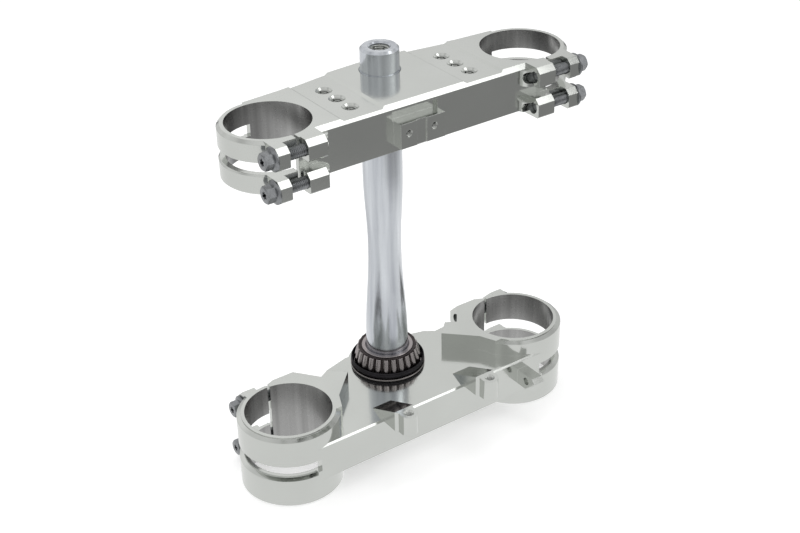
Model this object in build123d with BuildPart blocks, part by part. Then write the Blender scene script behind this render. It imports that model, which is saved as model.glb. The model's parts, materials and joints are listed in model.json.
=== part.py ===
# Motorcycle triple clamp: two fork clamps on a hollow steering stem, with the
# inner half of the lower steering bearing, its dust seal and the pinch bolts.
# Millimetres. X runs along the fork line, -Y is the front of the bike, +Z is up.
# The origin is the centre of the stem at its lower end.
import os
from math import cos, radians, sin

from build123d import *

os.makedirs("parts", exist_ok=True)

# Fork line, shared by both clamps
FORK_X = 97.6            # half of the fork spacing
FORK_Y = -23.0           # the fork axes sit this far ahead of the stem axis
SPLIT_GAP = 2.0          # saw cut that lets a ring close on its fork tube
CUT_PAST = 5.0           # how far a cutter runs past the face it leaves

# Lower clamp
LOW_BORE_R = 30.0        # seat of a 60 mm fork tube
LOW_WALL = 5.5
LOW_LIP_WALL = 2.5       # thin lip above each band
LOW_LIP_H = 1.2
LOW_LIP_STEP = 1.3       # height of the bevel from the lip out to the band
LOW_UPPER_BAND = 22.3
LOW_SLOT_H = 9.7
LOW_LOWER_BAND = 24.0
LOW_EDGE = 1.2
LOW_WEB_H = 27.6
LOW_WEB_DROP = 12.2      # the web top lies this far below the ring tops
LOW_BOSS_R = 29.0        # round of the web behind the stem
LOW_SPLIT_IN = 2.1       # the rear saw cut sits this far inside the fork axis
LOW_SEAT_DEPTH = 2.4     # recess that the bearing stands in
LOW_HEEL_X = 62.0        # corners of the web behind the fork line
LOW_HEEL_Y = 11.0
LOW_NOTCH_X = 50.0
LOW_NOTCH_Y = 10.0
LOW_SHOULDER_X = 43.0
LOW_SHOULDER_Y = 15.0
LOW_BACK_X = 24.0
LOW_BACK_Y = 20.0

# Raised wing beside each lower ring, level with the ring top
WING_ROOT_X = 66.5
WING_ROOT_Y = -42.0
WING_FRONT_X = 61.2
WING_FRONT_Y = -30.2
WING_TIP_X = 41.0
WING_TIP_Y = -10.4
WING_BACK_X = 51.8
WING_BACK_Y = 0.0
WING_WAIST_X = 59.4
WING_WAIST_Y = -4.5
WING_HEEL_Y = 12.4

# Upper clamp
CLAMP_RISE = 215.2       # from the lower ring tops to the upper ring tops
TOP_BORE_R = 27.0        # seat of a 54 mm fork tube
TOP_WALL = 4.5
TOP_UPPER_BAND = 13.5
TOP_SLOT_H = 8.2
TOP_LOWER_BAND = 13.3
TOP_WEB_H = 31.7
TOP_FRONT_Y = -52.0
TOP_BEVEL = 3.0          # bright bevel along the front edge
RING_BEVEL = 2.0
BAND_BEVEL = 1.0
TOP_SPLIT_IN = 1.1
TOP_WAIST_X = 69.0       # corners of the web behind the fork line
TOP_WAIST_Y = 10.3
TOP_BACK_X = 30.0
TOP_BACK_Y = 15.7
TOP_MIDDLE_Y = 17.5

# Pinch bolts, M8 with a flanged hexagon head and a lobed drive
BOLT_R = 4.0
BOLT_CLEAR = 0.25
THREAD_CLEAR = 0.02
FLANGE_R = 7.8
SPOT_CLEAR = 0.5
FLANGE_H = 2.0
HEX_AF = 10.0
HEX_H = 6.0
DRIVE_R = 2.0
DRIVE_LOBE_R = 0.75
DRIVE_DEPTH = 3.0
BOLT_DROP = 0.6          # bolts sit this far below the middle of their band

# Front ears of the upper clamp, measured from the stem axis
EAR_IN_X0 = 81.0
EAR_IN_X1 = 94.5
EAR_OUT_X0 = 107.0
EAR_OUT_X1 = 115.0
EAR_Y = -64.0
EAR_RECESS_Y = -55.0
EAR_BEVEL = 3.6
EAR_FILLET = 6.5
TOP_BOLT_Y = -58.0
BOLT_SHORT = 3.0         # the bolt stops this far inside the inner ear

# Rear lugs of the lower clamp
LUG_IN_X0 = 72.5
LUG_IN_X1 = 88.8
LUG_OUT_X0 = 104.0
LUG_OUT_X1 = 114.0
LUG_Y = 21.0
LUG_TOP_BEVEL = 8.6
LUG_LOW_BEVEL = 5.0
LOW_BOLT_Y = 13.0

# Steering stem
STEM_PROUD = 2.2         # below the lower web
STEM_R = 15.0
STEM_TOP_R = 12.9        # turned end above the upper clamp
STEM_SEAT_STEP = 0.3     # the seat in the upper clamp is this much thicker
STEM_STAND = 16.0        # above the upper clamp
STEM_WAIST_R = 11.75
STEM_SHOULDER_R = 13.6
STEM_FIT = 0.02
STEM_BORE_R = 8.0
STEM_MOUTH_R = 6.7
STEM_MOUTH_H = 34.0
STEM_RIM = 1.5
STEM_SINK = 0.7          # bevel of the clamp's bore round the stem

# Lower steering bearing, the inner half of a 30 x 55 x 17 tapered roller bearing
CONE_H = 17.0
ROLLERS = 24
ROLLER_TILT = 14.5
ROLLER_LEN = 11.0
ROLLER_TOP_R = 19.6      # distance of a roller's small end from the stem axis
ROLLER_TOP_H = 15.6      # height of that end above the bottom of the cone
ROLLER_RATIO = 0.108     # roller radius over its distance from the stem axis
ROLLER_EDGE = 0.3
RACE_GAP = 0.06
END_GAP = 0.12
RIB_SMALL = 1.1          # ribs stand this far above the race
RIB_BIG = 1.7
CAGE_IN = 0.55           # cage faces, measured outward from the roller axes
CAGE_OUT = 1.25
CAGE_SIDE_GAP = 0.14
CAGE_RING = 1.4
CAGE_LIP = 0.75

# Dust seal and its thrust washer
WASHER_H = 0.5
WASHER_LAP = 1.4         # the washer reaches this far in under the seal
WASHER_PROUD = 0.3
SEAL_CLEAR = 0.5         # between the foot of the cage and the seal
SEAL_STEP = 1.1          # the lip stands back from the rollers by this much
SEAL_WALL = 1.1
SEAL_H = 4.9
SEAT_CLEAR = 0.3         # between the big rib of the cone and its recess

# Handlebar mount holes and the channels they stand in
BAR_X = 46.0
BAR_Y = -19.8
BAR_PITCH = 15.2
BAR_TAP_R = 4.25
BAR_SINK_R = 5.5
CHANNEL_X0 = 30.5
CHANNEL_X1 = 62.5
CHANNEL_D = 1.3
CHANNEL_RAMP = 2.0
POCKET_D = 17.0
POCKET_R = 4.0
POCKET_IN_X = (20.0, 38.0)
POCKET_OUT_X = (54.0, 65.0)
POCKET_FRONT_Y = -44.0
POCKET_BACK_Y = 7.0
POCKET_OUT_BACK_Y = 4.0
LOW_POCKET_X = (32.0, 56.0)
LOW_POCKET_Y = (-46.0, -2.0)

# Number plate boss on the front of the upper clamp
PLATE_X = -9.0
PLATE_W = 33.6
PLATE_Y = -60.0
PLATE_DROP = 10.5        # below the upper face
PLATE_H = 16.7
PLATE_PADS = ((-25.8, -13.7), (-6.1, 7.8))
PLATE_PAD_D = 1.0
PLATE_HOLES_X = (-19.6, -0.4)
TROUGH_H = 6.0
TROUGH_D = 2.5
M6_TAP_R = 2.5

# Fender brackets and hose guide on the front of the lower clamp
BRACKET_X = 34.6
BRACKET_Y = -75.5
BRACKET_R = 6.0
BRACKET_H = 15.5
BRACKET_HALF = 7.6       # half width of the ramped arm behind the nose
BRACKET_NECK_Y = -69.4
BRACKET_ROOT_Y = -42.5   # the ramp leaves the web here
BRACKET_NECK = 2.4       # length of the bevel between arm and nose
GUIDE_X0 = 74.0
GUIDE_X1 = 83.0
GUIDE_Y = -77.7
GUIDE_HOLE_Y = -68.2
GUIDE_DROP = 19.2
GUIDE_H = 11.8
GUIDE_HOLE_R = 2.75

# Levels that follow from the sizes above
LOW_WEB_Z0 = STEM_PROUD
LOW_WEB_Z1 = LOW_WEB_Z0 + LOW_WEB_H
LOW_Z1 = LOW_WEB_Z1 + LOW_WEB_DROP
LOW_SLOT_Z1 = LOW_Z1 - LOW_UPPER_BAND
LOW_SLOT_Z0 = LOW_SLOT_Z1 - LOW_SLOT_H
LOW_Z0 = LOW_SLOT_Z0 - LOW_LOWER_BAND
LOW_RING_R = LOW_BORE_R + LOW_WALL
LOW_FRONT_Y = FORK_Y - LOW_RING_R
LOW_SPLIT_X = FORK_X - LOW_SPLIT_IN
TOP_Z1 = LOW_Z1 + CLAMP_RISE
TOP_SLOT_Z1 = TOP_Z1 - TOP_UPPER_BAND
TOP_SLOT_Z0 = TOP_SLOT_Z1 - TOP_SLOT_H
TOP_Z0 = TOP_SLOT_Z0 - TOP_LOWER_BAND
TOP_WEB_Z0 = TOP_Z1 - TOP_WEB_H
TOP_RING_R = TOP_BORE_R + TOP_WALL
TOP_SPLIT_X = FORK_X - TOP_SPLIT_IN
TOP_BOLT_ZS = ((TOP_SLOT_Z1 + TOP_Z1) / 2 - BOLT_DROP, (TOP_Z0 + TOP_SLOT_Z0) / 2 - BOLT_DROP)
LOW_BOLT_ZS = ((LOW_SLOT_Z1 + LOW_Z1) / 2 - BOLT_DROP, (LOW_Z0 + LOW_SLOT_Z0) / 2 - BOLT_DROP)
CONE_Z0 = LOW_WEB_Z1 - LOW_SEAT_DEPTH
ROLLER_TOP_Z = CONE_Z0 + ROLLER_TOP_H
STEM_TOP_Z = TOP_Z1 + STEM_STAND
STEM_CLAMP_R = STEM_TOP_R + STEM_SEAT_STEP
PLATE_Z1 = TOP_Z1 - PLATE_DROP
PLATE_Z0 = PLATE_Z1 - PLATE_H
BRACKET_Z0 = LOW_Z1 - BRACKET_H
GUIDE_Z1 = LOW_Z1 - GUIDE_DROP
GUIDE_Z0 = GUIDE_Z1 - GUIDE_H

# Bearing geometry: every roller axis and race meets the stem axis at one apex
AXIS_R = sin(radians(ROLLER_TILT))
AXIS_Z = -cos(radians(ROLLER_TILT))
SMALL_END_R = ROLLER_RATIO * ROLLER_TOP_R
BIG_END_R = ROLLER_RATIO * (ROLLER_TOP_R + ROLLER_LEN * AXIS_R)


def beside_axis(along, out):
    # (radius, z) of a point measured along a roller axis from its small end
    return (ROLLER_TOP_R + along * AXIS_R - out * AXIS_Z, ROLLER_TOP_Z + along * AXIS_Z + out * AXIS_R)


def roller_turn(i):
    return radians(360 / ROLLERS * (i + 0.5))


# Sizes round the bearing follow from its cage and its big rib
RIB_BIG_END = beside_axis(ROLLER_LEN + END_GAP, -BIG_END_R - RACE_GAP + RIB_BIG)
CAGE_FOOT_R = beside_axis(ROLLER_LEN + CAGE_RING, CAGE_OUT)[0]
SEAT_R = RIB_BIG_END[0] + SEAT_CLEAR
SEAL_IN_R = CAGE_FOOT_R + SEAL_CLEAR
SEAL_LIP_R = SEAL_IN_R + SEAL_STEP
SEAL_R = SEAL_LIP_R + SEAL_WALL
WASHER_R = SEAL_R + WASHER_PROUD
WASHER_IN_R = SEAL_IN_R - WASHER_LAP


def across(side, x0, x1):
    # lower end and length of a stretch along X on the given side
    return min(side * x0, side * x1), abs(x1 - x0)


def block_along_x(side, x0, x1, outline, mode=Mode.ADD):
    # extrude an outline of (y, z) points between two distances from the stem
    start, width = across(side, x0, x1)
    with BuildSketch(Plane.YZ.offset(start)) as profile:
        Polygon(*outline, align=None)
    extrude(profile.sketch, amount=width, mode=mode)


def cut_box(x0, x1, y0, y1, z0, z1):
    with Locations(((x0 + x1) / 2, (y0 + y1) / 2, (z0 + z1) / 2)):
        Box(abs(x1 - x0), abs(y1 - y0), abs(z1 - z0), mode=Mode.SUBTRACT)


def fork_ring(side, outline):
    # revolve an outline of (radius, z) points about a fork axis
    centre = Plane(origin=(side * FORK_X, FORK_Y, 0), x_dir=(1, 0, 0), z_dir=(0, -1, 0))
    with BuildSketch(centre) as profile:
        Polygon(*outline, align=None)
    revolve(profile.sketch, axis=Axis((side * FORK_X, FORK_Y, 0), (0, 0, 1)))


def bolt_holes(side, seat_x, clear_to, thread_to, y, heights):
    # clearance through the outer ear, thread from the saw cut inward, room for the head
    with Locations([Plane(origin=(side * seat_x, y, z), z_dir=(side, 0, 0)) for z in heights]):
        Hole(BOLT_R + BOLT_CLEAR, depth=seat_x - clear_to)
        Hole(BOLT_R + THREAD_CLEAR, depth=seat_x - thread_to)
        Cylinder(FLANGE_R + SPOT_CLEAR, FLANGE_H + HEX_H + CUT_PAST,
                 align=(Align.CENTER, Align.CENTER, Align.MIN), mode=Mode.SUBTRACT)


def top_ears(side):
    for z0, z1 in ((TOP_Z0, TOP_SLOT_Z0), (TOP_SLOT_Z1, TOP_Z1)):
        nose = [(TOP_FRONT_Y + 8, z0), (EAR_Y + BAND_BEVEL, z0), (EAR_Y, z0 + BAND_BEVEL),
                (EAR_Y, z1 - EAR_BEVEL), (EAR_Y + EAR_BEVEL, z1), (TOP_FRONT_Y + 8, z1)]
        floor = [(TOP_FRONT_Y + 8, z0), (EAR_RECESS_Y, z0), (EAR_RECESS_Y, z1), (TOP_FRONT_Y + 8, z1)]
        block_along_x(side, EAR_IN_X0, EAR_IN_X1, nose)
        block_along_x(side, EAR_IN_X1, EAR_OUT_X0, floor)
        block_along_x(side, EAR_OUT_X0, EAR_OUT_X1, nose)
        with BuildSketch(Plane.XY.offset(max(z0, TOP_WEB_Z0))) as fillet_plan:
            with BuildLine():
                Line((side * (EAR_IN_X0 - EAR_FILLET), TOP_FRONT_Y), (side * (EAR_IN_X0 + 1), TOP_FRONT_Y))
                Line((side * (EAR_IN_X0 + 1), TOP_FRONT_Y),
                     (side * (EAR_IN_X0 + 1), TOP_FRONT_Y - EAR_FILLET))
                Line((side * (EAR_IN_X0 + 1), TOP_FRONT_Y - EAR_FILLET),
                     (side * EAR_IN_X0, TOP_FRONT_Y - EAR_FILLET))
                RadiusArc((side * EAR_IN_X0, TOP_FRONT_Y - EAR_FILLET),
                          (side * (EAR_IN_X0 - EAR_FILLET), TOP_FRONT_Y), side * EAR_FILLET)
            make_face()
        extrude(fillet_plan.sketch, amount=z1 - TOP_BEVEL - max(z0, TOP_WEB_Z0))


def bar_mounts(side):
    with BuildSketch(Plane.XZ.offset(-CHANNEL_X0)) as channel:
        Polygon((side * (CHANNEL_X0 + CHANNEL_RAMP), TOP_Z1 - CHANNEL_D), (side * CHANNEL_X0, TOP_Z1),
                (side * CHANNEL_X0, TOP_Z1 + 1), (side * CHANNEL_X1, TOP_Z1 + 1),
                (side * CHANNEL_X1, TOP_Z1), (side * (CHANNEL_X1 - CHANNEL_RAMP), TOP_Z1 - CHANNEL_D),
                align=None)
    extrude(channel.sketch, amount=CHANNEL_X0 - TOP_FRONT_Y + CUT_PAST, mode=Mode.SUBTRACT)
    with Locations([(side * BAR_X, BAR_Y + k * BAR_PITCH, TOP_Z1 - CHANNEL_D) for k in (-1, 0, 1)]):
        CounterSinkHole(BAR_TAP_R, BAR_SINK_R, depth=TOP_WEB_H + CUT_PAST)


def top_pockets(side):
    # weight-saving pockets in the hidden underside, clear of the threads
    for (x0, x1), back in ((POCKET_IN_X, POCKET_BACK_Y), (POCKET_OUT_X, POCKET_OUT_BACK_Y)):
        with BuildSketch(Plane.XY.offset(TOP_WEB_Z0)) as pocket:
            with Locations((side * (x0 + x1) / 2, (POCKET_FRONT_Y + back) / 2)):
                RectangleRounded(x1 - x0, back - POCKET_FRONT_Y, POCKET_R)
        extrude(pocket.sketch, amount=POCKET_D, mode=Mode.SUBTRACT)


# Upper clamp
with BuildPart() as top_clamp:
    with BuildSketch(Plane.XY.offset(TOP_WEB_Z0)):
        with BuildLine():
            Polyline((0, TOP_FRONT_Y), (FORK_X, TOP_FRONT_Y), (FORK_X, FORK_Y + TOP_RING_R),
                     (TOP_WAIST_X, TOP_WAIST_Y), (TOP_BACK_X, TOP_BACK_Y), (0, TOP_MIDDLE_Y),
                     (0, TOP_FRONT_Y))
        make_face()
        mirror(about=Plane.YZ)
    extrude(amount=TOP_WEB_H)
    for side in (-1, 1):
        fork_ring(side, ((0, TOP_Z0), (TOP_RING_R - BAND_BEVEL, TOP_Z0), (TOP_RING_R, TOP_Z0 + BAND_BEVEL),
                         (TOP_RING_R, TOP_SLOT_Z0 - BAND_BEVEL), (TOP_RING_R - BAND_BEVEL, TOP_SLOT_Z0),
                         (TOP_RING_R - BAND_BEVEL, TOP_SLOT_Z1), (TOP_RING_R, TOP_SLOT_Z1),
                         (TOP_RING_R, TOP_Z1 - RING_BEVEL), (TOP_RING_R - RING_BEVEL, TOP_Z1), (0, TOP_Z1)))
        top_ears(side)
    block_along_x(1, -EAR_IN_X0, EAR_IN_X0, ((TOP_FRONT_Y, TOP_Z1 - TOP_BEVEL), (TOP_FRONT_Y, TOP_Z1 + 1),
                  (TOP_FRONT_Y + TOP_BEVEL + 1, TOP_Z1 + 1)), mode=Mode.SUBTRACT)
    # number plate boss with two proud pads, and the trough milled above it
    with Locations((PLATE_X, (PLATE_Y + TOP_FRONT_Y) / 2 + 1, (PLATE_Z0 + PLATE_Z1) / 2)):
        Box(PLATE_W, TOP_FRONT_Y - PLATE_Y + 2, PLATE_H)
    cut_box(PLATE_PADS[0][1], PLATE_PADS[1][0], PLATE_Y - 1, PLATE_Y + PLATE_PAD_D,
            PLATE_Z0 - 1, PLATE_Z1 + 1)
    cut_box(PLATE_PADS[0][0] - 1, PLATE_PADS[1][1], TOP_FRONT_Y - 1, TOP_FRONT_Y + TROUGH_D,
            PLATE_Z1, PLATE_Z1 + TROUGH_H)
    with Locations([Plane(origin=(x, PLATE_Y - 1, (PLATE_Z0 + PLATE_Z1) / 2 + 1), z_dir=(0, -1, 0))
                    for x in PLATE_HOLES_X]):
        Hole(M6_TAP_R, depth=TOP_FRONT_Y - PLATE_Y + 12)
    for side in (-1, 1):
        bar_mounts(side)
        top_pockets(side)
        far = side * (EAR_OUT_X1 + CUT_PAST + TOP_RING_R)
        cut_box(side * (TOP_SPLIT_X - SPLIT_GAP / 2), far, EAR_Y - 1, FORK_Y + TOP_RING_R + 2,
                TOP_SLOT_Z0, TOP_SLOT_Z1)
        cut_box(side * (TOP_SPLIT_X - SPLIT_GAP / 2), side * (TOP_SPLIT_X + SPLIT_GAP / 2),
                EAR_Y - 1, FORK_Y, TOP_Z0 - 1, TOP_Z1 + 1)
        bolt_holes(side, EAR_OUT_X1, TOP_SPLIT_X, EAR_IN_X0 - EAR_FILLET, TOP_BOLT_Y, TOP_BOLT_ZS)
    with Locations((-FORK_X, FORK_Y, TOP_Z1), (FORK_X, FORK_Y, TOP_Z1)):
        Hole(TOP_BORE_R, depth=TOP_Z1 - TOP_Z0 + 1)
    with Locations((0, 0, TOP_Z1)):
        CounterSinkHole(STEM_CLAMP_R + STEM_FIT, STEM_CLAMP_R + STEM_FIT + STEM_SINK, depth=TOP_WEB_H + 1)
top_clamp.part.label = "top_clamp"
export_step(top_clamp.part, "parts/top_clamp.step")


def low_plateau(side):
    # raised wing beside each ring, level with the ring top, pointing at the stem
    with BuildSketch(Plane.XY.offset(LOW_WEB_Z0)) as wing:
        Polygon((side * WING_ROOT_X, WING_ROOT_Y), (side * WING_FRONT_X, WING_FRONT_Y),
                (side * WING_TIP_X, WING_TIP_Y), (side * WING_BACK_X, WING_BACK_Y),
                (side * WING_WAIST_X, WING_WAIST_Y), (side * LUG_IN_X0, WING_HEEL_Y),
                (side * LUG_IN_X1, WING_HEEL_Y), (side * FORK_X, FORK_Y + LOW_BORE_R + 1),
                (side * FORK_X, WING_ROOT_Y), align=None)
    extrude(wing.sketch, amount=LOW_Z1 - LOW_WEB_Z0)


def low_lugs(side):
    for z0, z1 in ((LOW_Z0, LOW_SLOT_Z0), (LOW_SLOT_Z1, LOW_Z1)):
        lug = [(FORK_Y + LOW_BORE_R, z0), (LUG_Y - LUG_LOW_BEVEL, z0), (LUG_Y, z0 + LUG_LOW_BEVEL),
               (LUG_Y, z1 - LUG_TOP_BEVEL), (LUG_Y - LUG_TOP_BEVEL, z1), (FORK_Y + LOW_BORE_R, z1)]
        block_along_x(side, LUG_IN_X0, LUG_IN_X1, lug)
        lug[0] = (FORK_Y + LOW_BORE_R * 0.7, z0)
        lug[-1] = (FORK_Y + LOW_BORE_R * 0.7, z1)
        block_along_x(side, LUG_OUT_X0, LUG_OUT_X1, lug)


def fender_bracket(side):
    # ramped arm from the web to a round threaded nose
    with BuildSketch(Plane.XY.offset(BRACKET_Z0)) as nose:
        with Locations((side * BRACKET_X, BRACKET_Y)):
            Circle(BRACKET_R)
        with Locations((side * BRACKET_X, 0)):
            Polygon((-BRACKET_R, BRACKET_Y), (BRACKET_R, BRACKET_Y), (BRACKET_R, BRACKET_NECK_Y - BRACKET_NECK),
                    (BRACKET_HALF, BRACKET_NECK_Y), (-BRACKET_HALF, BRACKET_NECK_Y),
                    (-BRACKET_R, BRACKET_NECK_Y - BRACKET_NECK), align=None)
    extrude(nose.sketch, amount=BRACKET_H)
    block_along_x(side, BRACKET_X - BRACKET_HALF, BRACKET_X + BRACKET_HALF,
                  ((BRACKET_NECK_Y, BRACKET_Z0), (BRACKET_NECK_Y, LOW_Z1), (BRACKET_ROOT_Y, LOW_WEB_Z1),
                   (BRACKET_ROOT_Y, BRACKET_Z0)))
    with Locations((side * BRACKET_X, BRACKET_Y, LOW_Z1)):
        CounterSinkHole(M6_TAP_R, M6_TAP_R + 1, depth=BRACKET_H + 1)


# Lower clamp
with BuildPart() as bottom_clamp:
    with BuildSketch(Plane.XY.offset(LOW_WEB_Z0)):
        Circle(LOW_BOSS_R)
        with BuildLine():
            Polyline((0, LOW_FRONT_Y), (FORK_X, LOW_FRONT_Y), (FORK_X, LOW_NOTCH_Y),
                     (LUG_IN_X0, LOW_HEEL_Y), (LOW_HEEL_X, LOW_HEEL_Y), (LOW_NOTCH_X, LOW_NOTCH_Y),
                     (LOW_SHOULDER_X, LOW_SHOULDER_Y), (LOW_BACK_X, LOW_BACK_Y), (0, LOW_BACK_Y),
                     (0, LOW_FRONT_Y))
        make_face()
        mirror(about=Plane.YZ)
    extrude(amount=LOW_WEB_H)
    front_edge = bottom_clamp.faces().sort_by(Axis.Z)[-1].edges().sort_by(Axis.Y)[0]
    chamfer(front_edge, LOW_EDGE)
    for side in (-1, 1):
        low_plateau(side)
        low_lugs(side)
        lip_r = LOW_BORE_R + LOW_LIP_WALL
        step = LOW_LIP_H + LOW_LIP_STEP
        fork_ring(side, ((0, LOW_Z0), (LOW_RING_R - LOW_EDGE, LOW_Z0), (LOW_RING_R, LOW_Z0 + LOW_EDGE),
                         (LOW_RING_R, LOW_SLOT_Z0 - step), (lip_r, LOW_SLOT_Z0 - LOW_LIP_H),
                         (lip_r, LOW_SLOT_Z1), (LOW_RING_R, LOW_SLOT_Z1), (LOW_RING_R, LOW_Z1 - step),
                         (lip_r, LOW_Z1 - LOW_LIP_H), (lip_r, LOW_Z1), (0, LOW_Z1)))
        fender_bracket(side)
        # weight-saving pocket in the hidden underside
        with BuildSketch(Plane.XY.offset(LOW_WEB_Z0)):
            with Locations((side * sum(LOW_POCKET_X) / 2, sum(LOW_POCKET_Y) / 2)):
                RectangleRounded(LOW_POCKET_X[1] - LOW_POCKET_X[0], LOW_POCKET_Y[1] - LOW_POCKET_Y[0], POCKET_R)
        extrude(amount=POCKET_D, mode=Mode.SUBTRACT)
    block_along_x(1, GUIDE_X0, GUIDE_X1, ((LOW_FRONT_Y + 9, GUIDE_Z0), (GUIDE_HOLE_Y, GUIDE_Z0),
                  (GUIDE_Y, GUIDE_Z0 + 3), (GUIDE_Y, GUIDE_Z1 - 3), (GUIDE_Y + 3, GUIDE_Z1),
                  (LOW_FRONT_Y + 9, GUIDE_Z1)))
    with Locations(Plane(origin=(GUIDE_X0 - 1, GUIDE_HOLE_Y, (GUIDE_Z0 + GUIDE_Z1) / 2 + 1),
                         z_dir=(-1, 0, 0))):
        Hole(GUIDE_HOLE_R, depth=GUIDE_X1 - GUIDE_X0 + 2)
    for side in (-1, 1):
        far = side * (LUG_OUT_X1 + CUT_PAST + LOW_RING_R)
        cut_box(side * (LOW_SPLIT_X - SPLIT_GAP / 2), far, LOW_FRONT_Y - 1, LUG_Y + 1,
                LOW_SLOT_Z0, LOW_SLOT_Z1)
        cut_box(side * (LOW_SPLIT_X - SPLIT_GAP / 2), side * (LOW_SPLIT_X + SPLIT_GAP / 2),
                FORK_Y, LUG_Y + 1, LOW_Z0 - 1, LOW_Z1 + 1)
        bolt_holes(side, LUG_OUT_X1, LOW_SPLIT_X, LUG_IN_X0 - 1, LOW_BOLT_Y, LOW_BOLT_ZS)
    with Locations((-FORK_X, FORK_Y, LOW_Z1), (FORK_X, FORK_Y, LOW_Z1)):
        Hole(LOW_BORE_R, depth=LOW_Z1 - LOW_Z0 + 1)
    with Locations((0, 0, LOW_WEB_Z1)):
        CounterBoreHole(STEM_R, SEAT_R, LOW_SEAT_DEPTH, depth=LOW_WEB_H + 1)
bottom_clamp.part.label = "bottom_clamp"
export_step(bottom_clamp.part, "parts/bottom_clamp.step")


# Steering stem: thick at the bearing seat, waisted in the middle, bored through
with BuildPart() as steering_stem:
    with BuildSketch(Plane.XZ):
        with BuildLine():
            Polyline((STEM_BORE_R, 0), (STEM_R - 1, 0), (STEM_R, 1), (STEM_R, LOW_Z1 + 10))
            Spline((STEM_R, LOW_Z1 + 10), (STEM_R - 0.3, LOW_Z1 + 24), (STEM_WAIST_R + 0.3, LOW_Z1 + 66),
                   (STEM_WAIST_R, LOW_Z1 + 96), (STEM_SHOULDER_R, LOW_Z1 + 142),
                   tangents=((0, 1), (0, 1)))
            Polyline((STEM_SHOULDER_R, LOW_Z1 + 142), (STEM_SHOULDER_R, TOP_WEB_Z0),
                     (STEM_CLAMP_R, TOP_WEB_Z0), (STEM_CLAMP_R, TOP_Z1), (STEM_TOP_R, TOP_Z1),
                     (STEM_TOP_R, STEM_TOP_Z - STEM_RIM),
                     (STEM_TOP_R - STEM_RIM, STEM_TOP_Z), (STEM_MOUTH_R + 1, STEM_TOP_Z),
                     (STEM_MOUTH_R, STEM_TOP_Z - 1), (STEM_MOUTH_R, STEM_TOP_Z - STEM_MOUTH_H),
                     (STEM_BORE_R, STEM_TOP_Z - STEM_MOUTH_H - 2), (STEM_BORE_R, 0))
        make_face()
    revolve(axis=Axis.Z)
steering_stem.part.label = "steering_stem"
export_step(steering_stem.part, "parts/steering_stem.step")


# Thrust washer that the dust seal stands on
with BuildPart() as seal_washer:
    with BuildSketch(Plane.XY.offset(LOW_WEB_Z1)):
        Circle(WASHER_R)
        Circle(WASHER_IN_R, mode=Mode.SUBTRACT)
    extrude(amount=WASHER_H)
seal_washer.part.label = "seal_washer"
export_step(seal_washer.part, "parts/seal_washer.step")


# Rubber dust seal round the big end of the bearing
with BuildPart() as dust_seal:
    foot = LOW_WEB_Z1 + WASHER_H
    with BuildSketch(Plane.XZ):
        Polygon((SEAL_IN_R, foot), (SEAL_R - 0.5, foot), (SEAL_R, foot + 0.6), (SEAL_R, foot + SEAL_H - 1.6),
                (SEAL_R - 0.5, foot + SEAL_H - 1.2), (SEAL_R - 0.2, foot + SEAL_H - 0.4),
                (SEAL_R - 0.6, foot + SEAL_H), (SEAL_LIP_R, foot + SEAL_H - 0.5),
                (SEAL_LIP_R, foot + 1.4), (SEAL_IN_R, foot + 0.8), align=None)
    revolve(axis=Axis.Z)
dust_seal.part.label = "dust_seal"
export_step(dust_seal.part, "parts/dust_seal.step")


# Inner ring of the bearing with a rib at each end of its race
with BuildPart() as bearing_cone:
    race_small = beside_axis(-END_GAP, -SMALL_END_R - RACE_GAP)
    race_big = beside_axis(ROLLER_LEN + END_GAP, -BIG_END_R - RACE_GAP)
    rib_small = beside_axis(-END_GAP, -SMALL_END_R - RACE_GAP + RIB_SMALL)
    with BuildSketch(Plane.XZ):
        Polygon((STEM_R, CONE_Z0 + 0.8), (STEM_R + 0.8, CONE_Z0), (RIB_BIG_END[0], CONE_Z0),
                RIB_BIG_END, race_big,
                race_small, rib_small, (rib_small[0], CONE_Z0 + CONE_H - 0.3),
                (rib_small[0] - 0.3, CONE_Z0 + CONE_H), (STEM_R + 1, CONE_Z0 + CONE_H),
                (STEM_R, CONE_Z0 + CONE_H - 1), align=None)
    revolve(axis=Axis.Z)
bearing_cone.part.label = "bearing_cone"
export_step(bearing_cone.part, "parts/bearing_cone.step")


# Pressed steel cage with one tapered window for each roller
with BuildPart() as bearing_cage:
    with BuildSketch(Plane.XZ):
        Polygon(beside_axis(-END_GAP * 2, -CAGE_LIP), beside_axis(-END_GAP * 2, CAGE_IN),
                beside_axis(ROLLER_LEN + CAGE_RING, CAGE_IN), beside_axis(ROLLER_LEN + CAGE_RING, CAGE_OUT),
                beside_axis(-END_GAP * 2 - 0.7, CAGE_OUT), beside_axis(-END_GAP * 2 - 0.7, -CAGE_LIP),
                align=None)
    revolve(axis=Axis.Z)
    for i in range(ROLLERS):
        c, s = cos(roller_turn(i)), sin(roller_turn(i))
        top = beside_axis(-END_GAP, 0)
        window = Plane(origin=(top[0] * c, top[0] * s, top[1]), x_dir=(-s, c, 0),
                       z_dir=(-AXIS_Z * c, -AXIS_Z * s, AXIS_R))
        small = SMALL_END_R + CAGE_SIDE_GAP
        big = BIG_END_R + CAGE_SIDE_GAP
        with BuildSketch(window):
            Polygon((-small, 0), (small, 0), (big, -ROLLER_LEN - 2 * END_GAP),
                    (-big, -ROLLER_LEN - 2 * END_GAP), align=None)
        extrude(amount=CAGE_OUT * 2, mode=Mode.SUBTRACT)
bearing_cage.part.label = "bearing_cage"
export_step(bearing_cage.part, "parts/bearing_cage.step")


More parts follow.
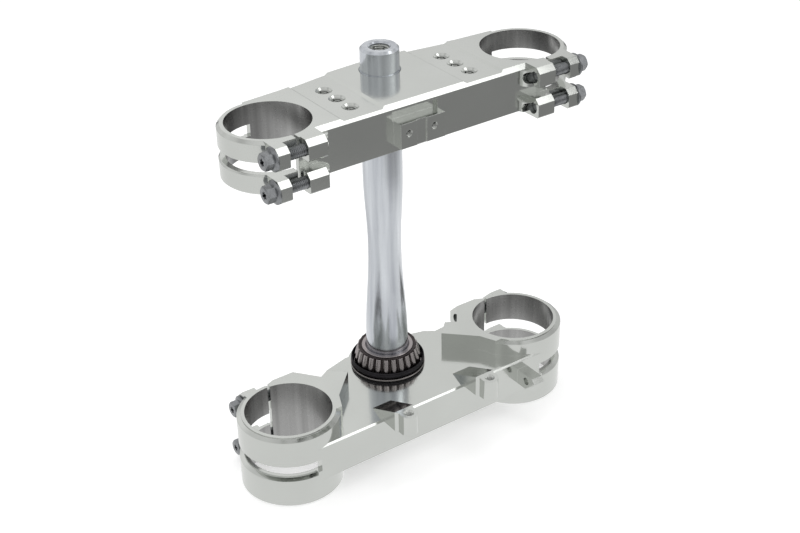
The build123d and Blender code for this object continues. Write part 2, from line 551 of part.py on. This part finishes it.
# Tapered rollers
for i in range(ROLLERS):
    c, s = cos(roller_turn(i)), sin(roller_turn(i))
    with BuildPart() as roller:
        with BuildSketch(Plane(origin=(0, 0, 0), x_dir=(c, s, 0), z_dir=(s, -c, 0))):
            Polygon(beside_axis(0, 0), beside_axis(0, SMALL_END_R - ROLLER_EDGE),
                    beside_axis(ROLLER_EDGE, SMALL_END_R),
                    beside_axis(ROLLER_LEN - ROLLER_EDGE, BIG_END_R),
                    beside_axis(ROLLER_LEN, BIG_END_R - ROLLER_EDGE), beside_axis(ROLLER_LEN, 0), align=None)
        revolve(axis=Axis((ROLLER_TOP_R * c, ROLLER_TOP_R * s, ROLLER_TOP_Z),
                          (AXIS_R * c, AXIS_R * s, AXIS_Z)))
    roller.part.label = f"roller_{i + 1:02d}"
    export_step(roller.part, f"parts/{roller.part.label}.step")


def pinch_bolt(name, side, seat_x, end_x, y, z):
    # head outboard on its seat, threaded end in the inner ear
    seat = Plane(origin=(side * seat_x, y, z), z_dir=(side, 0, 0))
    with BuildPart() as bolt:
        with BuildSketch(seat):
            Circle(BOLT_R)
        extrude(amount=end_x - seat_x)
        with BuildSketch(seat):
            Circle(FLANGE_R)
        extrude(amount=FLANGE_H, taper=20)
        with BuildSketch(seat):
            RegularPolygon(HEX_AF / 2, 6, major_radius=False)
        extrude(amount=FLANGE_H + HEX_H)
        with BuildSketch(seat.offset(FLANGE_H + HEX_H)):
            Circle(DRIVE_R)
            with PolarLocations(DRIVE_R, 6):
                Circle(DRIVE_LOBE_R)
        extrude(amount=-DRIVE_DEPTH, mode=Mode.SUBTRACT)
    bolt.part.label = name
    export_step(bolt.part, f"parts/{name}.step")


for hand, side in (("right", -1), ("left", 1)):
    for level, top_z, low_z in zip(("upper", "lower"), TOP_BOLT_ZS, LOW_BOLT_ZS):
        pinch_bolt(f"top_bolt_{hand}_{level}", side, EAR_OUT_X1, EAR_IN_X0 + BOLT_SHORT, TOP_BOLT_Y, top_z)
        pinch_bolt(f"bottom_bolt_{hand}_{level}", side, LUG_OUT_X1, LUG_IN_X0 + BOLT_SHORT, LOW_BOLT_Y, low_z)
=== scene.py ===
# Looks of the motorcycle triple clamp: finishes, threads, drive recesses, light and camera.
# Metres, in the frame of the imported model.
import json
from math import cos, pi, radians, sin

import bpy
from mathutils import Matrix, Vector


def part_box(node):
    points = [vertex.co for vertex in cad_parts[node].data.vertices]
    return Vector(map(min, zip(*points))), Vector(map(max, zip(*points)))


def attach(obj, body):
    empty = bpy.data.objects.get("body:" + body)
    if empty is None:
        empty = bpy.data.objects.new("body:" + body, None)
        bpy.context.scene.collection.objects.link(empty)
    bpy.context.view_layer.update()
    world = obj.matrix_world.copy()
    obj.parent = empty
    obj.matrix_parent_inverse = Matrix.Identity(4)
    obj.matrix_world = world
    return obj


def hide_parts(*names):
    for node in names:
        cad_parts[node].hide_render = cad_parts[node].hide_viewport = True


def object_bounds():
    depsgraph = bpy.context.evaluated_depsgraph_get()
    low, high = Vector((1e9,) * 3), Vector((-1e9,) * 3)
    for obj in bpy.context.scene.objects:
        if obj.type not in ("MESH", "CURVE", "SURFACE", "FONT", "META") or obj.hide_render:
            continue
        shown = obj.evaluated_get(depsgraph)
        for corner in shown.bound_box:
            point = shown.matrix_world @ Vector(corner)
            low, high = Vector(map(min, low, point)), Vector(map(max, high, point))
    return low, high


MM = 0.001
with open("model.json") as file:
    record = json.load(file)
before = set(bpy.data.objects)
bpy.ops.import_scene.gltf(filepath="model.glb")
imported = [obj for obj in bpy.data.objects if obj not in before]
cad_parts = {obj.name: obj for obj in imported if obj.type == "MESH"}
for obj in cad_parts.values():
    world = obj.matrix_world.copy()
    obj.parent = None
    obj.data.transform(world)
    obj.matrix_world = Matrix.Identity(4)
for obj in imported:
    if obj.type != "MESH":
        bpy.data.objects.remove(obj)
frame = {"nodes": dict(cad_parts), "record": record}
cad_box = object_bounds()
mounts = {m["name"]: m for m in frame["record"]["mounts"]}
nodes = frame["nodes"]

# Camera, fitted to the circles of the photographed rings
CAMERA_AT = Vector((-481.6, -717.7, 622.0)) * MM
CAMERA_AZIMUTH = radians(-34.55)
CAMERA_ELEVATION = radians(30.73)
CAMERA_ROLL = radians(-1.21)
SENSOR_MM = 36.0
LENS_MM = 64.70

# Colours of the finishes
ALUMINIUM = (0.60, 0.615, 0.59)
# painted shade: darker metal for the walls of the fork bores
SHADED_BORE_METAL = (0.42, 0.42, 0.415)
STEM_METAL = (0.74, 0.77, 0.80)
STEM_DARK = (0.42, 0.44, 0.48)
STEEL = (0.36, 0.33, 0.33)
BOLT_METAL = (0.30, 0.31, 0.32)
CAGE_METAL = (0.075, 0.062, 0.062)
RUBBER = (0.008, 0.007, 0.009)

# Grain of the finishes
NOISE_RANGE = (0.3, 0.7)
BUMP_DEPTH = 0.1 * MM
CLOUD_SHADE = 0.94
ROUGH_SWING = (0.8, 1.25)
BORE_GRAIN = 260.0
BORE_SHADE = 0.72
BORE_DULLER = 0.16
BORE_SLACK = 0.15 * MM
BORE_END_GAP = 0.1 * MM
RUBBER_GRAIN = 1400.0
RUBBER_CLOUD = 160.0
RUBBER_LIGHTER = 2.2
RUBBER_ROUGH = (0.5, 0.68)
RUBBER_SHINE = 0.3
RUBBER_BUMP = 0.15
SHARP_ANGLE = radians(32)

# Threads: points in a ring, rings in a turn, depth as a share of the pitch, and form of the flanks
THREAD_SEGMENTS = 40
THREAD_ROWS = 6
THREAD_DEPTH = 0.5
FLANK_SLOPE = 2.6
FLANK_START = 0.15
LINER_WALL = 0.05 * MM

# Pitch and length of each tapped hole, and how far the mouth of two of them is moved
BAR_THREAD = (1.5 * MM, 14 * MM)
PLATE_THREAD = (1.0 * MM, 9 * MM)
FENDER_THREAD = (1.0 * MM, 12 * MM)
STEM_THREAD = (1.5 * MM, 24 * MM)
PLATE_THREAD_IN_MM = 0.2
STEM_THREAD_IN = 1.0 * MM

# Pinch bolts, M8 with a flanged head
BOLT_R = 4.0 * MM
BOLT_PITCH = 1.25 * MM
BOLT_END_R = 3.3 * MM
BOLT_END_LENGTH = 0.6 * MM
BOLT_END_FACE = 0.01 * MM
FLANGE_FOOT_IN = 0.4 * MM
FLANGE_FOOT_TOP = 0.35 * MM
FLANGE_RIM_TOP = 1.1 * MM
FLANGE_NECK_IN = 1.0 * MM
FLANGE_NECK_TOP = 1.8 * MM
HEX_HALF = 5.0 * MM
HEX_FOOT = 2.3 * MM
HEX_TOP = 7.85 * MM
HEX_CROWN = 0.55
HEAD_H = 8.0 * MM
HEAD_FACE_SHARE = 0.93
HEAD_SEGMENTS = 60

# Lobed drive in the bolt heads
DRIVE_R = 2.15 * MM
DRIVE_LOBE = 0.5 * MM
DRIVE_LOBES = 6
DRIVE_MOUTH_SHARE = 1.12
DRIVE_BEVEL = 0.3 * MM
DRIVE_WALL_END = 3.2 * MM
DRIVE_TIP_R = 0.4 * MM
DRIVE_TIP = 3.6 * MM

# Dust seal: tuck of its foot, height share of its widest line, and its lip as mm in and height share
SEAL_TUCK = 1.5 * MM
SEAL_WIDEST = 0.55
SEAL_ROWS = 6
SEAL_LIP = ((0.45, 0.72), (0.2, 0.88), (0.6, 1.0), (1.05, 0.92), (1.1, 0.3), (2.15, 0.16), (2.15, 0.0))

# Floor and surround, as the camera and the metal see them
FLOOR = (0.9, 0.9, 0.9)
FLOOR_REACH = 6.0
FLOOR_GLOW = 0.45
FILL = 0.45
SURROUND_GREYS = (0.56, 1.0)
SURROUND_SCALE = 1.9
BRIGHT_CORNER = (-0.5, 0.8, 0.0)
TABLE_EDGE = (1.16, 1.46, 0.95, 0.30)

# Lamps: place, size, radiance, and whether the metal mirrors them
LAMP_TARGET = Vector((0, 0, 0.12))
LAMPS = {
    "overhead": ((0.1, 0.3, 1.3), (1.2, 1.0), 1.6, False),
    "left": ((-1.1, -0.1, 0.7), (0.7, 0.9), 1.4, False),
    "key": ((0.55, -0.65, 1.0), (0.5, 0.5), 1.7, True),
}


# Shader building blocks
def node(tree, kind, **values):
    made = tree.nodes.new(kind)
    for key, value in values.items():
        setattr(made, key, value)
    return made


def new_material(name):
    material = bpy.data.materials.new(name)
    material.use_nodes = True
    material.node_tree.nodes.clear()
    return material, material.node_tree


def to_surface(tree, shader, kind="ShaderNodeOutputMaterial"):
    out = node(tree, kind)
    tree.links.new(shader, out.inputs["Surface"])


def times(colour, share):
    return tuple(c * share for c in colour)


def scaled_coords(tree, scale):
    coords = node(tree, "ShaderNodeTexCoord")
    mapping = node(tree, "ShaderNodeMapping")
    mapping.inputs["Scale"].default_value = scale
    tree.links.new(coords.outputs["Object"], mapping.inputs["Vector"])
    return mapping.outputs["Vector"]


def noise(tree, scale, detail=3.0, stretch=(1, 1, 1)):
    made = node(tree, "ShaderNodeTexNoise")
    made.inputs["Scale"].default_value = scale
    made.inputs["Detail"].default_value = detail
    tree.links.new(scaled_coords(tree, stretch), made.inputs["Vector"])
    return made.outputs["Fac"]


def map_range(tree, factor, limits, **values):
    # limits are from low, from high, to low and to high
    made = node(tree, "ShaderNodeMapRange", **values)
    for key, value in zip(("From Min", "From Max", "To Min", "To Max"), limits):
        made.inputs[key].default_value = value
    tree.links.new(factor, made.inputs["Value"])
    return made.outputs["Result"]


def spread(tree, factor, low, high):
    # the used range of a noise, spread from low to high
    return map_range(tree, factor, (*NOISE_RANGE, low, high))


def shades(tree, factor, dark, light):
    ramp = node(tree, "ShaderNodeValToRGB")
    for element, position, colour in zip(ramp.color_ramp.elements, NOISE_RANGE, (dark, light)):
        element.position = position
        element.color = (*colour, 1)
    tree.links.new(factor, ramp.inputs["Fac"])
    return ramp.outputs["Color"]


def arithmetic(tree, operation, first, second=0.0):
    # first and second are floats or sockets
    made = node(tree, "ShaderNodeMath", operation=operation)
    for socket, value in zip(made.inputs, (first, second)):
        if isinstance(value, float):
            socket.default_value = value
        else:
            tree.links.new(value, socket)
    return made.outputs[0]


def mixed(tree, factor, first, second):
    made = node(tree, "ShaderNodeMix", data_type="RGBA")
    tree.links.new(factor, made.inputs["Factor"])
    tree.links.new(first, made.inputs[6])
    tree.links.new(second, made.inputs[7])
    return made.outputs[2]


def raised(tree, factor, value, step):
    return arithmetic(tree, "ADD", value, arithmetic(tree, "MULTIPLY", factor, step))


def bumps(tree, height, strength):
    made = node(tree, "ShaderNodeBump")
    made.inputs["Strength"].default_value = strength
    made.inputs["Distance"].default_value = BUMP_DEPTH
    tree.links.new(height, made.inputs["Height"])
    return made


def bore_shade_and_honing_mask(tree, bores):
    # 1 on the walls of the bores at (x, y, low z, high z, radius) on both sides, which are honed and duller
    # and carry a darker painted shade
    coords = node(tree, "ShaderNodeTexCoord")
    parts = node(tree, "ShaderNodeSeparateXYZ")
    tree.links.new(coords.outputs["Object"], parts.inputs[0])
    side = arithmetic(tree, "ABSOLUTE", parts.outputs[0])
    total = None
    for x, y, low, high, radius in bores:
        dx = arithmetic(tree, "SUBTRACT", side, x)
        dy = arithmetic(tree, "SUBTRACT", parts.outputs[1], y)
        dx_squared = arithmetic(tree, "MULTIPLY", dx, dx)
        dy_squared = arithmetic(tree, "MULTIPLY", dy, dy)
        distance = arithmetic(tree, "SQRT", arithmetic(tree, "ADD", dx_squared, dy_squared))
        on_wall = arithmetic(tree, "LESS_THAN", distance, radius + BORE_SLACK)
        above = arithmetic(tree, "GREATER_THAN", parts.outputs[2], low)
        below = arithmetic(tree, "LESS_THAN", parts.outputs[2], high)
        hit = arithmetic(tree, "MULTIPLY", on_wall, arithmetic(tree, "MULTIPLY", above, below))
        total = hit if total is None else arithmetic(tree, "MAXIMUM", total, hit)
    return total


# Materials
def metal(name, colour, rough, dark=None, grain=(1, 1, 1), grain_scale=900.0, cloud_scale=22.0,
          cloud_stretch=(1, 1, 1), bump=0.04, edge=0.3 * MM, bores=()):
    # satin metal: cloudy tint, fine tool marks along the grain and softened edges, with painted shade on the
    # walls of any given bores
    material, tree = new_material(name)
    shader = node(tree, "ShaderNodeBsdfPrincipled")
    shader.inputs["Metallic"].default_value = 1.0
    cloud = noise(tree, cloud_scale, 3.0, cloud_stretch)
    marks = noise(tree, grain_scale, 4.0, grain)
    tint = shades(tree, cloud, dark or times(colour, CLOUD_SHADE), colour)
    dull = spread(tree, marks, rough * ROUGH_SWING[0], rough * ROUGH_SWING[1])
    # painted shade: the bore walls get a darker colour over the honing grain, and more roughness
    if bores:
        inside = bore_shade_and_honing_mask(tree, bores)
        honing = noise(tree, BORE_GRAIN, 4.0, (1, 1, 0.02))
        wall = shades(tree, honing, times(SHADED_BORE_METAL, BORE_SHADE), SHADED_BORE_METAL)
        tint = mixed(tree, inside, tint, wall)
        dull = raised(tree, inside, dull, BORE_DULLER)
    tree.links.new(tint, shader.inputs["Base Color"])
    tree.links.new(dull, shader.inputs["Roughness"])
    relief = bumps(tree, marks, bump)
    bevel = node(tree, "ShaderNodeBevel", samples=4)
    bevel.inputs["Radius"].default_value = edge
    tree.links.new(bevel.outputs["Normal"], relief.inputs["Normal"])
    tree.links.new(relief.outputs["Normal"], shader.inputs["Normal"])
    to_surface(tree, shader.outputs["BSDF"])
    return material


def rubber(name, colour):
    material, tree = new_material(name)
    shader = node(tree, "ShaderNodeBsdfPrincipled")
    shader.inputs["Specular IOR Level"].default_value = RUBBER_SHINE
    grain = noise(tree, RUBBER_GRAIN, 5.0)
    tint = shades(tree, noise(tree, RUBBER_CLOUD), colour, times(colour, RUBBER_LIGHTER))
    tree.links.new(tint, shader.inputs["Base Color"])
    tree.links.new(spread(tree, grain, *RUBBER_ROUGH), shader.inputs["Roughness"])
    relief = bumps(tree, grain, RUBBER_BUMP)
    tree.links.new(relief.outputs["Normal"], shader.inputs["Normal"])
    to_surface(tree, shader.outputs["BSDF"])
    return material


def dress(obj, material):
    obj.data.materials.clear()
    obj.data.materials.append(material)
    for face in obj.data.polygons:
        face.material_index = 0


# Meshes made of rings of points
def ring_mesh(name, rings, closed_ends, material, place):
    # skin over rings with the same number of points, with a face on both ends or the last joined to the first
    count = len(rings[0])
    points = [p for ring in rings for p in ring]
    faces = []
    for row in range(len(rings) - 1):
        for k in range(count):
            a = row * count + k
            b = row * count + (k + 1) % count
            faces.append((a, b, b + count, a + count))
    last = (len(rings) - 1) * count
    if closed_ends:
        faces.append(tuple(reversed(range(count))))
        faces.append(tuple(range(last, last + count)))
    else:
        for k in range(count):
            faces.append((last + k, last + (k + 1) % count, (k + 1) % count, k))
    mesh = bpy.data.meshes.new(name)
    mesh.from_pydata([place @ Vector(p) for p in points], [], faces)
    mesh.validate()
    mesh.update()
    for face in mesh.polygons:
        face.use_smooth = True
    mesh.set_sharp_from_angle(angle=SHARP_ANGLE)
    obj = bpy.data.objects.new(name, mesh)
    bpy.context.scene.collection.objects.link(obj)
    obj.data.materials.append(material)
    return obj


def polar(radius, turn, height):
    return (radius * cos(turn), radius * sin(turn), height)


def circle_ring(radius, height, segments=THREAD_SEGMENTS):
    return [polar(radius, 2 * pi * k / segments, height) for k in range(segments)]


def thread_ring(radius, pitch, height, inward):
    # one ring of a single-start thread with straight flanks, and flat crests and roots
    depth = THREAD_DEPTH * pitch
    ring = []
    for k in range(THREAD_SEGMENTS):
        turn = k / THREAD_SEGMENTS
        phase = (height / pitch - turn) % 1.0
        cut = min(1.0, max(0.0, FLANK_SLOPE * abs(phase - 0.5) - FLANK_START))
        r = radius - depth * (1 - cut if inward else cut)
        ring.append(polar(r, 2 * pi * turn, height))
    return ring


def hex_ring(height, crown=0.0):
    # one ring of the bolt head's hexagon, its corners lower by the crown's share of their reach
    ring = []
    for k in range(HEAD_SEGMENTS):
        turn = 2 * pi * k / HEAD_SEGMENTS
        r = HEX_HALF / cos((turn + pi / 6) % (pi / 3) - pi / 6)
        ring.append(polar(r, turn, height - crown * (r - HEX_HALF)))
    return ring


def lobed_ring(share, height):
    # one ring of the drive recess
    ring = []
    for k in range(HEAD_SEGMENTS):
        turn = 2 * pi * k / HEAD_SEGMENTS
        ring.append(polar((DRIVE_R + DRIVE_LOBE * cos(DRIVE_LOBES * turn)) * share, turn, height))
    return ring


def along(point, direction):
    # matrix whose +Z points along the given direction from the given point
    turn = Vector((0, 0, 1)).rotation_difference(Vector(direction)).to_matrix().to_4x4()
    return Matrix.Translation(Vector(point)) @ turn


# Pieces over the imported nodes
def tapped_hole(name, mouth, outward, radius, pitch, length, material):
    # a thin threaded liner against the wall of a plain hole
    steps = int(length / pitch * THREAD_ROWS)
    wall = radius + LINER_WALL
    inner = [thread_ring(radius, pitch, -length * s / steps, True) for s in range(steps + 1)]
    rings = [circle_ring(wall, 0)] + inner + [circle_ring(wall, -length)]
    obj = ring_mesh(name, rings, False, material, along(mouth, outward))
    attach(obj, "root")


def head_rings(flange_r):
    # from the bearing face of the flange over the hexagon and down into the drive
    flange = [(BOLT_R, 0), (flange_r - FLANGE_FOOT_IN, 0), (flange_r, FLANGE_FOOT_TOP),
              (flange_r, FLANGE_RIM_TOP), (flange_r - FLANGE_NECK_IN, FLANGE_NECK_TOP)]
    rings = [circle_ring(r, z, HEAD_SEGMENTS) for r, z in flange]
    rings += [hex_ring(HEX_FOOT), hex_ring(HEX_TOP, HEX_CROWN)]
    rings += [circle_ring(HEX_HALF * HEAD_FACE_SHARE, HEAD_H, HEAD_SEGMENTS)]
    rings += [lobed_ring(DRIVE_MOUTH_SHARE, HEAD_H), lobed_ring(1.0, HEAD_H - DRIVE_BEVEL)]
    rings += [lobed_ring(1.0, HEAD_H - DRIVE_WALL_END)]
    rings += [circle_ring(DRIVE_TIP_R, HEAD_H - DRIVE_TIP, HEAD_SEGMENTS)]
    return rings


def shaft_rings(length):
    # from the narrow end of the bolt up its thread to the head
    steps = int(length / BOLT_PITCH * THREAD_ROWS)
    threaded = length - BOLT_END_LENGTH
    rings = [circle_ring(BOLT_END_R, -length), circle_ring(BOLT_END_R, -length + BOLT_END_FACE)]
    for s in range(steps + 1):
        rings.append(thread_ring(BOLT_R, BOLT_PITCH, -threaded + threaded * s / steps, False))
    return rings


def flanged_bolt(name, material):
    # flanged hexagon bolt with a lobed drive and a full thread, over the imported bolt
    low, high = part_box(name)
    low, high = Vector(low), Vector(high)
    side = 1 if low.x + high.x > 0 else -1
    middle = (low + high) / 2
    head_end = high.x if side > 0 else low.x
    place = along((side * (abs(head_end) - HEAD_H), middle.y, middle.z), (side, 0, 0))
    head_obj = ring_mesh(name + "_head", head_rings((high.y - low.y) / 2), True, material, place)
    shaft_obj = ring_mesh(name + "_shaft", shaft_rings(high.x - low.x - HEAD_H), True, material, place)
    for obj in (head_obj, shaft_obj):
        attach(obj, "root")
    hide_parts(name)


def rolled_seal(name, material):
    # moulded seal with a swelling flank and a thin lip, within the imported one
    low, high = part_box(name)
    outer, base, tall = high[0], low[2], high[2] - low[2]
    steps = [k / SEAL_ROWS for k in range(SEAL_ROWS + 1)]
    flank = [(outer - SEAL_TUCK * (1 - sin(pi / 2 * s)), base + tall * SEAL_WIDEST * s) for s in steps]
    lip = [(outer - inset * MM, base + tall * share) for inset, share in SEAL_LIP]
    rings = [circle_ring(r, z, 2 * THREAD_SEGMENTS) for r, z in flank + lip]
    obj = ring_mesh(name + "_moulded", rings, False, material, Matrix.Identity(4))
    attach(obj, "root")
    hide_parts(name)


def seats(*names):
    # bores of the named mounts, as the mask of honed bore walls with painted shade takes them
    found = []
    for name in names:
        mount = mounts[name]
        x, y, z = mount["pos_m"]
        half = mount["dims"]["length_mm"] * MM / 2 - BORE_END_GAP
        found.append((abs(x), y, z - half, z + half, mount["dims"]["r_mm"] * MM))
    return found


def pattern(mount_name, along_x, along_y):
    # place in a hole pattern, from its middle in mm
    mount = mounts[mount_name]
    return Vector(mount["pos_m"]) + Vector((along_x, along_y, 0)) * MM


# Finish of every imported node
clamp_metal = metal("clamp_aluminium", ALUMINIUM, 0.13, grain=(0.3, 1, 1),
                    bores=seats("fork_clamp_top_left", "fork_clamp_low_left"))
stem_metal = metal("stem_aluminium", STEM_METAL, 0.2, dark=STEM_DARK, grain=(0.2, 0.2, 3.0),
                   cloud_scale=120.0, cloud_stretch=(1, 1, 0.05))
steel = metal("bearing_steel", STEEL, 0.24)
bolt_metal = metal("bolt_steel", BOLT_METAL, 0.3, dark=times(BOLT_METAL, 0.7), cloud_scale=300.0)
cage_metal = metal("cage_steel", CAGE_METAL, 0.4, dark=times(CAGE_METAL, 0.6), cloud_scale=200.0)
seal_rubber = rubber("seal_rubber", RUBBER)
# painted shade: thread liners in a darker copy of the clamp aluminium, for the shade inside the tapped holes
shaded_thread_metal = metal("thread_aluminium", times(ALUMINIUM, 0.7), 0.25, edge=0.05 * MM)
finish = {"clamp_aluminium": clamp_metal, "stem_aluminium": stem_metal, "bearing_steel": steel,
          "cage_steel": cage_metal, "seal_rubber": seal_rubber, "bolt_steel": bolt_metal}
for part in frame["record"]["subparts"]:
    dress(nodes[part["node"]], finish[part["material_slot"]])

# Bolts, seal and threads
for part in frame["record"]["subparts"]:
    if part["material_slot"] == "bolt_steel":
        flanged_bolt(part["node"], bolt_metal)
rolled_seal("dust_seal", seal_rubber)
bar = mounts["bar_mount_corners"]["dims"]
plate = mounts["plate_holes"]["dims"]
fender = mounts["fender_holes"]["dims"]
for side in (-1, 1):
    for row in (-1, 0, 1):
        at = pattern("bar_mount_corners", side * bar["spacing_x_mm"] / 2, row * bar["spacing_y_mm"] / 2)
        tapped_hole(f"bar_thread_{side + 2}_{row + 2}", at, (0, 0, 1), bar["hole_r_mm"] * MM,
                    *BAR_THREAD, shaded_thread_metal)
    at = pattern("plate_holes", side * plate["spacing_x_mm"] / 2, PLATE_THREAD_IN_MM)
    tapped_hole(f"plate_thread_{side + 2}", at, (0, -1, 0), plate["hole_r_mm"] * MM,
                *PLATE_THREAD, shaded_thread_metal)
    at = pattern("fender_holes", side * fender["spacing_x_mm"] / 2, 0)
    tapped_hole(f"fender_thread_{side + 2}", at, (0, 0, 1), fender["hole_r_mm"] * MM,
                *FENDER_THREAD, shaded_thread_metal)
mouth = mounts["stem_mouth"]
tapped_hole("stem_thread", Vector(mouth["pos_m"]) - Vector((0, 0, STEM_THREAD_IN)), (0, 0, 1),
            mouth["dims"]["r_mm"] * MM, *STEM_THREAD, shaded_thread_metal)


# Studio: pale floor, white surround, soft lamps
def piece_of_stage(name, mesh, material):
    obj = bpy.data.objects.new(name, mesh)
    bpy.context.scene.collection.objects.link(obj)
    mesh.materials.append(material)


def falloff(tree, limits):
    # shade that falls smoothly with the distance from the bright corner of the table
    coords = node(tree, "ShaderNodeTexCoord")
    length = node(tree, "ShaderNodeVectorMath", operation="DISTANCE")
    length.inputs[1].default_value = BRIGHT_CORNER
    tree.links.new(coords.outputs["Object"], length.inputs[0])
    return map_range(tree, length.outputs["Value"], limits, interpolation_type="SMOOTHSTEP")


def floor():
    # pale and glowing to the camera, and a table that darkens with distance to the metal
    level = cad_box[0][2]
    corners = [(-FLOOR_REACH, -FLOOR_REACH, level), (FLOOR_REACH, -FLOOR_REACH, level),
               (FLOOR_REACH, FLOOR_REACH, level), (-FLOOR_REACH, FLOOR_REACH, level)]
    mesh = bpy.data.meshes.new("floor")
    mesh.from_pydata(corners, [], [(0, 1, 2, 3)])
    material, tree = new_material("floor")
    diffuse = node(tree, "ShaderNodeBsdfDiffuse")
    diffuse.inputs["Color"].default_value = (*FLOOR, 1)
    path = node(tree, "ShaderNodeLightPath")
    glow = node(tree, "ShaderNodeEmission")
    glow_seen = arithmetic(tree, "MULTIPLY", path.outputs["Is Camera Ray"], FLOOR_GLOW)
    tree.links.new(glow_seen, glow.inputs["Strength"])
    both = node(tree, "ShaderNodeAddShader")
    tree.links.new(diffuse.outputs[0], both.inputs[0])
    tree.links.new(glow.outputs[0], both.inputs[1])
    mirrored = node(tree, "ShaderNodeEmission")
    tree.links.new(falloff(tree, TABLE_EDGE), mirrored.inputs["Strength"])
    seen = node(tree, "ShaderNodeMixShader")
    tree.links.new(path.outputs["Is Glossy Ray"], seen.inputs[0])
    tree.links.new(both.outputs[0], seen.inputs[1])
    tree.links.new(mirrored.outputs[0], seen.inputs[2])
    to_surface(tree, seen.outputs[0])
    piece_of_stage("floor", mesh, material)


def surround():
    # white to the camera, and in reflections white with soft grey cloths to the sides
    world = bpy.data.worlds.new("surround")
    bpy.context.scene.world = world
    world.use_nodes = True
    tree = world.node_tree
    tree.nodes.clear()
    path = node(tree, "ShaderNodeLightPath")
    coords = node(tree, "ShaderNodeTexCoord")
    cloths = node(tree, "ShaderNodeTexNoise")
    cloths.inputs["Scale"].default_value = SURROUND_SCALE
    cloths.inputs["Detail"].default_value = 1.0
    tree.links.new(coords.outputs["Generated"], cloths.inputs["Vector"])
    reflected = spread(tree, cloths.outputs["Fac"], *SURROUND_GREYS)
    clear = arithmetic(tree, "MAXIMUM", path.outputs["Is Camera Ray"], path.outputs["Is Transmission Ray"])
    plain = arithmetic(tree, "ADD", arithmetic(tree, "MULTIPLY", clear, 1.0 - FILL), FILL)
    glossy = arithmetic(tree, "MULTIPLY", path.outputs["Is Glossy Ray"], reflected)
    rest = arithmetic(tree, "SUBTRACT", 1.0, path.outputs["Is Glossy Ray"])
    total = arithmetic(tree, "ADD", arithmetic(tree, "MULTIPLY", plain, rest), glossy)
    background = node(tree, "ShaderNodeBackground")
    background.inputs["Color"].default_value = (1, 1, 1, 1)
    tree.links.new(total, background.inputs["Strength"])
    to_surface(tree, background.outputs[0], "ShaderNodeOutputWorld")


def softbox(name, at, size, radiance, mirrored):
    lamp = bpy.data.lights.new(name, "AREA")
    lamp.shape = "RECTANGLE"
    lamp.size, lamp.size_y = size
    lamp.energy = radiance * pi * size[0] * size[1]
    obj = bpy.data.objects.new(name, lamp)
    bpy.context.scene.collection.objects.link(obj)
    obj.visible_glossy = mirrored
    aim = (LAMP_TARGET - Vector(at)).to_track_quat("-Z", "Y").to_matrix().to_4x4()
    obj.matrix_world = Matrix.Translation(Vector(at)) @ aim


def camera():
    a, e, roll = CAMERA_AZIMUTH, CAMERA_ELEVATION, CAMERA_ROLL
    ahead = Vector((-sin(a) * cos(e), cos(a) * cos(e), -sin(e)))
    right = Vector((cos(a), sin(a), 0))
    up = right.cross(ahead)
    rolled_right = cos(roll) * right + sin(roll) * up
    rolled_up = -sin(roll) * right + cos(roll) * up
    data = bpy.data.cameras.new("camera")
    data.sensor_width = SENSOR_MM
    data.lens = LENS_MM
    data.clip_start = 0.01
    obj = bpy.data.objects.new("camera", data)
    bpy.context.scene.collection.objects.link(obj)
    axes = Matrix((rolled_right, rolled_up, -ahead)).transposed().to_4x4()
    obj.matrix_world = Matrix.Translation(CAMERA_AT) @ axes
    bpy.context.scene.camera = obj


floor()
surround()
for lamp_name, lamp_values in LAMPS.items():
    softbox(lamp_name, *lamp_values)
camera()
bpy.context.scene.view_settings.view_transform = "Standard"
